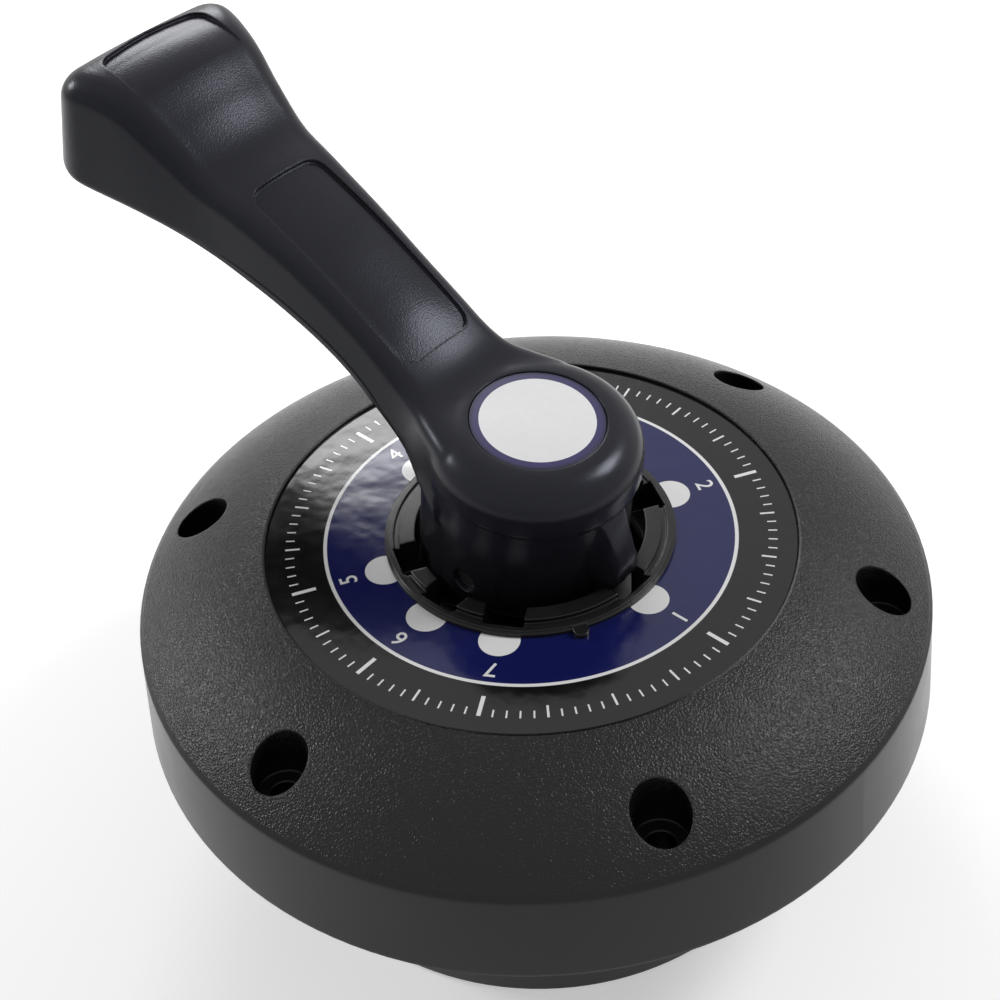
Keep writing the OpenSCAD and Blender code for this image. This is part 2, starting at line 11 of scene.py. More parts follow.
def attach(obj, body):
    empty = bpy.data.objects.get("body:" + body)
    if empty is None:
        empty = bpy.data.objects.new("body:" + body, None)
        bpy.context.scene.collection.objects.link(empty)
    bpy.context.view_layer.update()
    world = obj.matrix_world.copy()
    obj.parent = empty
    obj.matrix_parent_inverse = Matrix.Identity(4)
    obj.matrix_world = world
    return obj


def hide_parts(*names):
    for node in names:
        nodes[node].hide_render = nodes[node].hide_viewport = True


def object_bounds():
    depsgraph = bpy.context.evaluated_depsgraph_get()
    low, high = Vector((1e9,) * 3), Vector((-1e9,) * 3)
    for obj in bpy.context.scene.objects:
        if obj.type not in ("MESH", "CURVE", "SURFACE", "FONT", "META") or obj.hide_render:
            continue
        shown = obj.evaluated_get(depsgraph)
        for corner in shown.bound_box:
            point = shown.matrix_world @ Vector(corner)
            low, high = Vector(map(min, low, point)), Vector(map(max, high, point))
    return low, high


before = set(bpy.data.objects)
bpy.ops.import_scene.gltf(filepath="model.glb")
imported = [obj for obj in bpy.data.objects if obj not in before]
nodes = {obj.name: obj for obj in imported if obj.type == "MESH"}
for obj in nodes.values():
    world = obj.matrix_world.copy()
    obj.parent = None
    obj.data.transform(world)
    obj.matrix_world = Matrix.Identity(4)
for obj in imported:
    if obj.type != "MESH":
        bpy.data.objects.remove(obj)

cad_box = [list(corner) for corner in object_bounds()]

MM = 0.001
FULL_TURN = 2 * math.pi
SHARP_BEND = radians(35)

# Levels and radii shared with the CAD nodes, in millimetres
PIN_Z = 42.5
LABEL_Z = 40.7
HANDLE_TILT = 7
CAP_R = 26
CAP_LOW = 23.5
CAP_TOP = 37.5
CAP_ROUND = 9
HUB_R = 24.5
HUB_LOW = -6
WALL_IN = HUB_R - 3
WALL_R = 27.2
WALL_LOW = -3
WALL_TOP = CAP_LOW + 2
CHEEK_IN = 10.4
CHEEK_OUT = 23
CHEEK_R = 26
CAM_THROW = 15
CAM_ANGLE = 5.5
CAM_R = 19.2
CAVITY_HALF = 16
CAVITY_TOP = 31
PIN_BORE = 3.28
MEDAL_R = 16.2
MEDAL_FLOOR = 36.7
MEDAL_T = 0.6
MEDAL_PLAY = 0.2
LEVER_WALL = 3.5
NOSE_R = 27.7
NOSE_HALF_W = 4
NOSE_LOW = -1.1
NOSE_TOP = 14

# The boss round the pin, and the lower end of the cheeks, which lies below the cams
PIN_BOSS_R = PIN_BORE + 6
CHEEK_LOW = -24

# How the wall and the cheeks run out into the hub, which the CAD nodes leave as steps
WALL_END = 76
WALL_RUN_OUT = 34
WALL_SINK = 0.4
CHEEK_SLOPE_LOW = -6
CHEEK_SLOPE_TOP = 7
CHEEK_SINK = 0.3


# ---------------------------------------------------------------- mesh helpers

def placed(name, data):
    """Puts a mesh, text, lamp or camera into the scene as an object at the origin."""
    thing = bpy.data.objects.new(name, data)
    bpy.context.scene.collection.objects.link(thing)
    return thing


def drawn(bm, name="working"):
    """Makes an object from a bmesh as it is, by default a working solid in millimetres."""
    mesh = bpy.data.meshes.new(name)
    bm.to_mesh(mesh)
    bm.free()
    return placed(name, mesh)


def as_object(name, bm):
    """Makes a finished mesh object from a bmesh drawn in millimetres."""
    bmesh.ops.transform(bm, matrix=Matrix.Scale(MM, 4), verts=bm.verts)
    return drawn(bm, name)


def close_up(bm):
    """Merges doubled points and turns every face outwards."""
    bmesh.ops.remove_doubles(bm, verts=bm.verts, dist=1e-4)
    bmesh.ops.recalc_face_normals(bm, faces=bm.faces)
    return bm


def shade(thing):
    """Smooth shading, with an edge kept sharp where it bends by more than SHARP_BEND."""
    bm = bmesh.new()
    bm.from_mesh(thing.data)
    for face in bm.faces:
        face.smooth = True
    for edge in bm.edges:
        edge.smooth = len(edge.link_faces) == 2 and edge.calc_face_angle(0) < SHARP_BEND
    bm.to_mesh(thing.data)
    bm.free()


def arc(cx, cz, r, start, end, steps):
    """Points on a circular arc, from one angle to another in degrees."""
    turns = [radians(start + (end - start) * i / steps) for i in range(steps + 1)]
    return [(cx + r * cos(t), cz + r * sin(t)) for t in turns]


def spun(profile, steps=160):
    """Solid of revolution about Z from points of (radius, height)."""
    bm = bmesh.new()
    line = [bm.verts.new((r, 0, z)) for r, z in profile]
    edges = [bm.edges.new(pair) for pair in zip(line, line[1:])]
    bmesh.ops.spin(bm, geom=line + edges, axis=(0, 0, 1), cent=(0, 0, 0), steps=steps,
                   angle=FULL_TURN, use_merge=True)
    return close_up(bm)


def block(x0, x1, y0, y1, z0, z1):
    """Box between two corners."""
    bm = bmesh.new()
    bmesh.ops.create_cube(bm, size=1)
    bmesh.ops.scale(bm, vec=(x1 - x0, y1 - y0, z1 - z0), verts=bm.verts)
    bmesh.ops.translate(bm, vec=((x0 + x1) / 2, (y0 + y1) / 2, (z0 + z1) / 2), verts=bm.verts)
    return bm


def rod(radius, y0, y1, cx=0.0, cz=0.0):
    """Closed round rod along Y."""
    bm = bmesh.new()
    bmesh.ops.create_cone(bm, cap_ends=True, segments=96, radius1=radius, radius2=radius,
                          depth=y1 - y0)
    bmesh.ops.rotate(bm, cent=(0, 0, 0), matrix=Matrix.Rotation(radians(90), 3, "X"),
                     verts=bm.verts)
    bmesh.ops.translate(bm, vec=(cx, (y0 + y1) / 2, cz), verts=bm.verts)
    return bm


def prism(outline, y0, y1):
    """Closed prism along Y over an outline of (x, z)."""
    bm = bmesh.new()
    face = bm.faces.new([bm.verts.new((x, y0, z)) for x, z in outline])
    made = bmesh.ops.extrude_face_region(bm, geom=[face])["geom"]
    bmesh.ops.translate(bm, vec=(0, y1 - y0, 0),
                        verts=[g for g in made if isinstance(g, bmesh.types.BMVert)])
    return close_up(bm)


def evaluated_mesh(thing):
    """What an object's modifiers or its text make, as a new mesh."""
    return bpy.data.meshes.new_from_object(
        thing.evaluated_get(bpy.context.evaluated_depsgraph_get()))


def bake_modifiers(thing):
    """Replaces an object's mesh with what its modifiers make of it."""
    mesh = evaluated_mesh(thing)
    thing.modifiers.clear()
    thing.data = mesh


def combine(thing, other, kind):
    """Applies a boolean of one closed solid with another, and removes the second."""
    step = thing.modifiers.new("combine", "BOOLEAN")
    step.operation = kind
    step.solver = "MANIFOLD"
    step.object = other
    bake_modifiers(thing)
    bpy.data.objects.remove(other)
    return thing


def joined(*solids):
    """Union of closed solids."""
    first = solids[0]
    for other in solids[1:]:
        combine(first, other, "UNION")
    return first


# ---------------------------------------------------------------- handle

# Each curve of the lever runs from the hub to the tip, in distances from the pin
LEVER_TOP = [(6, 36.2), (12, 36.6), (20, 37.3), (25, 38.6), (31, 41.3), (38, 45), (46, 48.8),
             (64, 56.4), (82, 62), (95, 65.6), (106, 72.8), (116, 79.2), (126, 81.2),
             (137, 79), (143, 76.5)]
LEVER_LOW = [(8, 10), (14, 14), (26, 21), (44, 33), (66, 40.8), (90, 45.7), (112, 48.8),
             (126, 50.3), (143, 53.3)]
LEVER_PLAN = [(6, 23.5), (10, 23), (18, 20), (26, 16.9), (38, 15.9), (56, 15.9), (80, 17.3),
              (95, 18.9), (106, 20.8), (120, 24), (132, 27), (143, 28.6)]
LEVER_START = 10
HEAD_START = 88
HEAD_RUN = 20
SIDE_END = 128.8
CORNER_R = 8
TIP_LEAN = 6
LEVER_CROWN = 1.2
CROWN_START = 20
CROWN_RUN = 20
LOW_ROUND = 2.2
UNDERSIDE_RISE = 0.3
RIBS = (54, 71, 88, 105, 122)
RIB_T = 2.5
CORE_START = 37
CORE_END = 136.5
CORE_ROOF = LEVER_WALL * 1.3
CORE_NARROWING = 16
CORE_LOWERING = 24
CORE_DROP = 5
RIB_CORNER_LOW = 0.8
RIB_CORNER_HIGH = 2.5
PANEL_START = 31
PANEL_END = 84.5
PANEL_HALF_W = 11.4
PANEL_R = 4
PANEL_DEPTH = 1
THUMB_DEPTH = 1.1
THUMB_START = 114
THUMB_RUN = 12
LIP_START = 26
LIP_END = 118
LIP_FADE_IN = 12
LIP_FADE_OUT = 40
LIP_STEPS = 80

# Reach of the working solids that cut the lever's top
CUT_SIDE = 60
CUT_TOP = 120
COLUMN_TOP = 200

# Where the skin is rounded at the lever's root, and how far
ROOT_START = 6
ROOT_END = 42
ROOT_LOW = 8
ROOT_R = 17
FILLET_PASSES = 26
FILLET_PACE = 0.9

# Mesh of the skin, the height at which the hub's foot joins it, and the thinnest face kept
SKIN_GRID = 0.7
HUB_JOIN = 6
SLIVER = 0.004

# How far a face looks up where the grain and the painted lighter top begin, and over what run they
# grow to full
UPWARD_FROM = 0.5
UPWARD_RUN = 0.3


def curve_at(points, u):
    """Smooth curve through points of (distance, value), read at a distance."""
    last = len(points) - 1
    i = min(max(sum(p[0] <= u for p in points) - 1, 0), last - 1)
    a, b, c, d = (points[min(max(k, 0), last)] for k in (i - 1, i, i + 1, i + 2))
    span = c[0] - b[0]
    t = (u - b[0]) / span
    slope_b = (c[1] - a[1]) / (c[0] - a[0]) * span
    slope_c = (d[1] - b[1]) / (d[0] - b[0]) * span
    return ((2 * t**3 - 3 * t**2 + 1) * b[1] + (t**3 - 2 * t**2 + t) * slope_b
            + (3 * t**2 - 2 * t**3) * c[1] + (t**3 - t**2) * slope_c)


def section(half_w, low, high, r_low, r_high):
    """Outline of a box with round corners."""
    corners = [(half_w - r_high, high - r_high, r_high, 0),
               (-half_w + r_high, high - r_high, r_high, 90),
               (-half_w + r_low, low + r_low, r_low, 180),
               (half_w - r_low, low + r_low, r_low, 270)]
    return [p for y, z, r, start in corners for p in arc(y, z, r, start, start + 90, 9)]


def lofted(rings, capped=True):
    """Closed solid through rings of points, by extruding one ring to the next.

    It needs no caps where its end rings are folded flat.
    """
    bm = bmesh.new()
    count = len(rings[0])
    bmesh.ops.create_circle(bm, cap_ends=True, radius=1, segments=count)
    bm.faces.ensure_lookup_table()
    ring = [loop.vert for loop in bm.faces[0].loops]
    if not capped:
        bmesh.ops.delete(bm, geom=list(bm.faces), context="FACES_ONLY")
    for i, points in enumerate(rings):
        if i:
            edges = [bm.edges.get((ring[k - 1], ring[k])) for k in range(count)]
            made = bmesh.ops.extrude_edge_only(bm, edges=edges)["geom"]
            fresh = {g for g in made if isinstance(g, bmesh.types.BMVert)}
            ring = [next(v for e in old.link_edges for v in e.verts if v in fresh)
                    for old in ring]
        for vert, point in zip(ring, points):
            vert.co = point
    if capped:
        bm.faces.new(ring)
    return close_up(bm)


def towards_tip(u, root, tip):
    """A value that changes from the lever to its head."""
    return root + (tip - root) * min(max((u - HEAD_START) / HEAD_RUN, 0), 1)


def crown_fade(u):
    """How much of the lever's crown there is, none at the hub."""
    return min(max((u - CROWN_START) / CROWN_RUN, 0), 1)


def side_draft(u):
    """How far the lever's lower edge stands out past its plan."""
    return towards_tip(u, 1.2, 1.8)


def top_round(u):
    """Radius of the lever's upper edges."""
    return towards_tip(u, 5, 7)


def lever_plan():
    """One half of the lever's plan, to the middle of its bowed tip."""
    side = [LEVER_START + (SIDE_END - LEVER_START) * i / 110 for i in range(111)]
    plan = [(u, curve_at(LEVER_PLAN, u)) for u in side]
    (ua, wa), (ub, wb) = plan[-2:]
    heading = math.atan2(wb - wa, ub - ua)
    for i in range(1, 15):
        a = heading + (radians(TIP_LEAN - 90) - heading) * i / 14
        plan.append((ub + CORNER_R * (sin(heading) - sin(a)),
                     wb + CORNER_R * (cos(a) - cos(heading))))
    u, w = plan[-1]
    bow = w * math.tan(radians(TIP_LEAN)) / 2
    return plan + [(u + bow * (1 - (1 - i / 12) ** 2), w * (1 - i / 12)) for i in range(1, 13)]


def outward(plan):
    """Unit directions straight out of a half plan."""
    closed = [plan[0]] + plan + [(plan[-2][0], -plan[-2][1])]
    return [Vector((-(c[1] - a[1]), c[0] - a[0])).normalized() for a, c in zip(closed, closed[2:])]


def lever_skin():
    """The lever's outside: drafted sides, round edges, a crowned top and a bowed tip."""
    plan = lever_plan()
    ways = outward(plan)

    def rim(shift, height):
        """The plan moved outwards, at a height along the lever."""
        points = []
        for (u, w), way in zip(plan, ways):
            out = shift(u)
            x, y = u + way.x * out, max(w + way.y * out, 0)
            points.append((x, y, height(x, u)))
        return points

    def top(x):
        """Height of the lever's top."""
        return curve_at(LEVER_TOP, min(x, LEVER_TOP[-1][0]))

    def low(x):
        """Height of the lever's lower edge."""
        return curve_at(LEVER_LOW, min(x, LEVER_LOW[-1][0]))

    turns = [radians(10 * k) for k in range(10)]
    lower = [rim(lambda u: side_draft(u) - LOW_ROUND * (1 - sin(t)),
                 lambda x, u: low(x) + LOW_ROUND * (1 - cos(t))) for t in turns]
    upper = [rim(lambda u: -top_round(u) * (1 - cos(t)),
                 lambda x, u: top(x) - top_round(u) * (1 - sin(t))) for t in turns]
    rings = [[(x, 0, z + UNDERSIDE_RISE) for x, _, z in lower[0]]] + lower + upper
    for f in (0.8, 0.6, 0.4, 0.2, 0):
        rings.append([(x, y * f, z + LEVER_CROWN * (1 - f * f) * crown_fade(x))
                      for x, y, z in upper[-1]])
    full = [ring + [(x, -y, z) for x, y, z in reversed(ring)] for ring in rings]
    return drawn(lofted(full, capped=False))


def lever_lips():
    """Narrow lip along the lower edge of each side, that runs out at both ends."""
    rings = []
    for i in range(LIP_STEPS + 1):
        u = LIP_START + (LIP_END - LIP_START) * i / LIP_STEPS
        fade = min(1, (u - LIP_START) / LIP_FADE_IN, (LIP_END - u) / LIP_FADE_OUT)
        edge = curve_at(LEVER_PLAN, u) + side_draft(u) - 0.6 * (1 - fade)
        low = curve_at(LEVER_LOW, u) + 0.5 * (1 - fade)
        tall = 1.4 + 1.3 * fade
        rings.append([(u, edge - 2.5, low + 0.6), (u, edge - 0.6, low + 0.3),
                      (u, edge + 0.15, low + 0.8), (u, edge + 0.15, low + tall),
                      (u, edge - 0.5, low + tall + 0.3), (u, edge - 2.5, low + tall + 0.3)])
    far = [[(u, -y, z) for u, y, z in ring] for ring in rings]
    return joined(drawn(lofted(rings)), drawn(lofted(far)))


def hub_skin():
    """The hub and its cap, with the step between them and the cap's round shoulder."""
    edge = 0.4
    shoulder = arc(CAP_R - CAP_ROUND, CAP_TOP - CAP_ROUND, CAP_ROUND, 0, 90, 16)
    return drawn(spun([(0, 0), (HUB_R, 0), (HUB_R, CAP_LOW), (CAP_R - edge, CAP_LOW),
                       (CAP_R, CAP_LOW + edge)] + shoulder + [(0, CAP_TOP)]))


def back_wall():
    """Wall under the lever's root, that runs out smoothly into the hub on both sides."""
    rings = []
    for angle in range(-WALL_END, WALL_END + 1, 2):
        ease = min(1, (WALL_END - abs(angle)) / WALL_RUN_OUT)
        sunk = HUB_R - WALL_SINK
        r = sunk + (WALL_R - sunk) * ease**2 * (3 - 2 * ease)
        line = ((WALL_IN, WALL_LOW), (r, WALL_LOW), (r, WALL_TOP - 3), (r - 0.5, WALL_TOP - 1.4),
                (r - 1.6, WALL_TOP - 0.3), (WALL_IN, WALL_TOP))
        c, d = cos(radians(angle)), sin(radians(angle))
        rings.append([(radius * c, radius * d, z) for radius, z in line])
    return drawn(lofted(rings))


def cam_cheeks():
    """Two cheeks with the cams that press on the wear plate."""
    cx, cz = CAM_THROW * cos(radians(CAM_ANGLE)), CAM_THROW * sin(radians(CAM_ANGLE))
    cheeks = []
    for y0, y1 in ((-CHEEK_OUT, -CHEEK_IN), (CHEEK_IN, CHEEK_OUT)):
        cheeks.append(joined(drawn(rod(CAM_R, y0, y1, cx, cz)), drawn(rod(PIN_BOSS_R, y0, y1))))
    pair = joined(*cheeks)
    outline = [(0, CHEEK_LOW), (CHEEK_R, CHEEK_LOW), (CHEEK_R, CHEEK_SLOPE_LOW),
               (HUB_R - CHEEK_SINK, CHEEK_SLOPE_TOP), (0, CHEEK_SLOPE_TOP)]
    return combine(pair, drawn(spun(outline)), "INTERSECT")


def index_nose():
    """Ridge that grows out of the hub, and the nose at its foot that points to a slot."""
    rings = []
    for reach, half_w, top, low in ((-HUB_R + 4, 8, 23.4, 4.9), (-HUB_R + 0.8, 6.4, 23.2, 4.9),
                                    (-HUB_R - 1, 5.4, 21.6, 4.9), (-27, 4.9, 18.6, 4.9),
                                    (-28.6, 4.6, 15.4, 4.9), (-29.8, 4.4, 12.4, 4.9),
                                    (-30.4, 4, 10.4, 5.1), (-30.6, 3.2, 9, 5.6)):
        taper = half_w * 0.72
        rings.append([(reach, -half_w, low), (reach, -half_w, (low + top) / 2),
                      (reach, -taper, top - 0.6), (reach, -taper + 0.8, top),
                      (reach, taper - 0.8, top), (reach, taper, top - 0.6),
                      (reach, half_w, (low + top) / 2), (reach, half_w, low)])
    nose = block(-NOSE_R, -HUB_R + 4, -NOSE_HALF_W, NOSE_HALF_W, NOSE_LOW, NOSE_TOP)
    return joined(drawn(lofted(rings)), drawn(nose))


def lever_hollow():
    """The chambers under the lever, between its cross ribs."""
    bounds = [CORE_START] + [e for r in RIBS for e in (r, r + RIB_T)] + [CORE_END]
    chambers = []
    for start, end in zip(bounds[0::2], bounds[1::2]):
        rings = []
        for i in range(9):
            u = start + (end - start) * i / 8
            past = max(u - SIDE_END, 0)
            half_w = curve_at(LEVER_PLAN, u) - LEVER_WALL - past**2 / CORE_NARROWING
            high = curve_at(LEVER_TOP, u) - CORE_ROOF - past**2 / CORE_LOWERING
            low = curve_at(LEVER_LOW, u) - CORE_DROP
            outline = section(half_w, low, high, RIB_CORNER_LOW, RIB_CORNER_HIGH)
            rings.append([(u, y, z) for y, z in outline])
        chambers.append(drawn(lofted(rings)))
    return joined(*chambers)


def top_cut(outline, sink):
    """Shallow recess under an outline on the lever's top, by a depth that can change along it."""
    bm = bmesh.new()
    face = bm.faces.new([bm.verts.new((x, y, 0)) for x, y in outline])
    made = bmesh.ops.extrude_face_region(bm, geom=[face])["geom"]
    bmesh.ops.translate(bm, vec=(0, 0, COLUMN_TOP),
                        verts=[g for g in made if isinstance(g, bmesh.types.BMVert)])
    column = drawn(close_up(bm))
    start, end = min(p[0] for p in outline) - 2, max(p[0] for p in outline) + 2
    rings = []
    for i in range(49):
        u = start + (end - start) * i / 48
        flat_w = curve_at(LEVER_PLAN, u) - top_round(u)
        floor = []
        for k in range(-12, 13):
            y = flat_w * k / 10
            rise = LEVER_CROWN * (1 - min(abs(y) / flat_w, 1) ** 2) * crown_fade(u)
            floor.append((u, y, curve_at(LEVER_TOP, u) + rise - sink(u)))
        rings.append([(u, -CUT_SIDE, CUT_TOP), (u, -CUT_SIDE, floor[0][2])] + floor
                     + [(u, CUT_SIDE, floor[-1][2]), (u, CUT_SIDE, CUT_TOP)])
    return combine(column, drawn(lofted(rings)), "INTERSECT")


def panel_cut():
    """Recessed panel along the lever, with round corners."""
    r = PANEL_R
    side = PANEL_HALF_W - r
    outline = (arc(PANEL_END - r, side, r, 90, 0, 8) + arc(PANEL_END - r, -side, r, 0, -90, 8)
               + arc(PANEL_START + r, -side, r, 270, 180, 8)
               + arc(PANEL_START + r, side, r, 180, 90, 8))
    return top_cut(outline, lambda u: PANEL_DEPTH)


def thumb_cut():
    """Recess behind the tip, that runs out to nothing towards the hub."""
    outline = (arc(126.5, 12, 4.5, 75, 5, 8) + [(131.6, 6), (131.9, 0), (131.6, -6)]
               + arc(126.5, -12, 4.5, -5, -75, 8)
               + [(116, -16.6), (112, -16), (112, 16), (116, 16.6)])

    def sink(u):
        """Depth of the recess, less than none where it has run out."""
        return THUMB_DEPTH * min(max((u - THUMB_START) / THUMB_RUN, -0.5), 1)

    return top_cut(outline, sink)


def soften(thing, passes):
    """Rounds the inner corners where the lever runs into the hub, and eases the whole skin."""
    bm = bmesh.new()
    bm.from_mesh(thing.data)
    bmesh.ops.smooth_vert(bm, verts=bm.verts, factor=0.5, use_axis_x=True, use_axis_y=True,
                          use_axis_z=True)
    root = [v for v in bm.verts if ROOT_START < v.co.x < ROOT_END and v.co.z > ROOT_LOW
            and v.co.xy.length > ROOT_R]
    for _ in range(passes):
        bm.normal_update()
        moves = []
        for v in root:
            around = [e.other_vert(v).co for e in v.link_edges]
            lift = (sum(around, Vector()) / len(around) - v.co).dot(v.normal)
            if lift > 0:
                moves.append((v, v.normal * lift * FILLET_PACE))
        for v, move in moves:
            v.co += move
    bm.to_mesh(thing.data)
    bm.free()


def merge_slivers(thing):
    """Merges the needle-thin faces that the cuts leave."""
    bm = bmesh.new()
    bm.from_mesh(thing.data)
    bmesh.ops.triangulate(bm, faces=bm.faces)
    for _ in range(3):
        bmesh.ops.dissolve_degenerate(bm, dist=SLIVER, edges=bm.edges)
        bmesh.ops.remove_doubles(bm, verts=bm.verts, dist=SLIVER)
    bmesh.ops.triangulate(bm, faces=bm.faces)
    bm.to_mesh(thing.data)
    bm.free()


def handle():
    """Lever, hub and cap in one moulding, hollow from below."""
    body = joined(hub_skin(), lever_skin())
    skin = body.modifiers.new("skin", "REMESH")
    skin.mode = "VOXEL"
    skin.voxel_size = SKIN_GRID
    bake_modifiers(body)
    soften(body, FILLET_PASSES)
    foot = spun([(0, HUB_LOW), (HUB_R, HUB_LOW), (HUB_R, HUB_JOIN), (0, HUB_JOIN)])
    body = joined(body, drawn(foot), back_wall(), index_nose(), cam_cheeks(), lever_lips())
    for cutter in (
            lever_hollow(),
            drawn(block(-CAVITY_HALF, CAVITY_HALF, -CHEEK_IN, CHEEK_IN, -30, CAVITY_TOP)),
            drawn(rod(PIN_BORE, -40, 40)),
            drawn(spun([(0, MEDAL_FLOOR), (MEDAL_R + MEDAL_PLAY, MEDAL_FLOOR),
                        (MEDAL_R + MEDAL_PLAY, 50), (0, 50)])),
            panel_cut(), thumb_cut()):
        combine(body, cutter, "DIFFERENCE")
    merge_slivers(body)
    return body


def mark_upward(thing):
    """Notes on each point how much it faces up, for the grain and for the painted light and shade
    of the lever's top and sides.
    """
    ups = [min(max((v.normal.z - UPWARD_FROM) / UPWARD_RUN, 0), 1) for v in thing.data.vertices]
    thing.data.attributes.new("upward", "FLOAT", "POINT").data.foreach_set("value", ups)
    return thing


def raised():
    """From the handle's own axes, with the lever along +X, to the raised handle on its pin."""
    return (Matrix.Scale(MM, 4) @ Matrix.Translation((0, 0, PIN_Z))
            @ Matrix.Rotation(radians(180), 4, "Z")
            @ Matrix.Rotation(radians(-HANDLE_TILT), 4, "Y"))


def settle(thing, name):
    """Names a finished solid and puts it in place in its mesh."""
    thing.data.transform(raised())
    thing.name = thing.data.name = name
    shade(thing)
    return thing


lever_handle = settle(mark_upward(handle()), "lever_handle")
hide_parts("handle")
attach(lever_handle, "handle")


# ---------------------------------------------------------------- medallion and dial print

def medallion():
    """Printed disc with an eased edge."""
    edge = 0.25
    return drawn(spun([(0, MEDAL_FLOOR), (MEDAL_R, MEDAL_FLOOR)]
                      + arc(MEDAL_R - edge, MEDAL_FLOOR + MEDAL_T - edge, edge, 0, 90, 5)
                      + [(0, MEDAL_FLOOR + MEDAL_T)], 128))


cap_disc = settle(medallion(), "cap_disc")
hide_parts("hub_medallion")
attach(cap_disc, "handle")

# The dial's seven positions, in degrees, and the sizes of its print in millimetres
POSITIONS = (0, 60, 120, 180, 240, 270, 300)
LINE_IN = 50.8
BAND_IN = 51.2
LINE_OUT = 51.7
SPOT_PLACE_R = 37.6
SPOT_R = 5
NUMBER_PLACE_R = 46.8
NUMBER_H = 6.2
SCALE_R = 61.2
MAJOR_TICK = (6, 1)
MIDDLE_TICK = (3.6, 0.55)
MINOR_TICK = (2.2, 0.4)
INK_T = 0.04


def numeral(text):
    """A plain figure as a thin solid, centred on the origin, in millimetres."""
    curve = bpy.data.curves.new("figure", "FONT")
    curve.body = text
    curve.size = NUMBER_H
    curve.align_x = "CENTER"
    curve.align_y = "CENTER"
    curve.extrude = INK_T / 2
    curve.offset = 0.05
    curve.resolution_u = 6
    thing = placed("figure", curve)
    mesh = evaluated_mesh(thing)
    bpy.data.objects.remove(thing)
    return mesh


def dial_numbers():
    """Plain figures 1 to 7 beside the spots, with their tops outwards."""
    bm = bmesh.new()
    for number, angle in zip(range(1, 8), POSITIONS):
        mesh = numeral(str(number))
        mesh.transform(Matrix.Rotation(radians(angle), 4, "Z")
                       @ Matrix.Translation((NUMBER_PLACE_R, 0, LABEL_Z + INK_T / 2))
                       @ Matrix.Rotation(radians(-90), 4, "Z"))
        bm.from_mesh(mesh)
    return as_object("dial_numbers", close_up(bm))


numbers = dial_numbers()
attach(numbers, "cover")


def dial_scale():
    """Printed scale in the dial's outer band."""
    bm = bmesh.new()
    for degree in range(0, 360, 3):
        length, width = (MAJOR_TICK if degree in POSITIONS
                         else MIDDLE_TICK if degree % 15 == 0 else MINOR_TICK)
        made = bmesh.ops.create_cube(bm, size=1)["verts"]
        bmesh.ops.scale(bm, vec=(length, width, INK_T), verts=made)
        bmesh.ops.translate(bm, vec=(SCALE_R - length / 2, 0, LABEL_Z + INK_T / 2), verts=made)
        bmesh.ops.rotate(bm, cent=(0, 0, 0), matrix=Matrix.Rotation(radians(degree), 3, "Z"),
                         verts=made)
    return as_object("dial_scale", bm)


scale = dial_scale()
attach(scale, "cover")


# ---------------------------------------------------------------- finishes

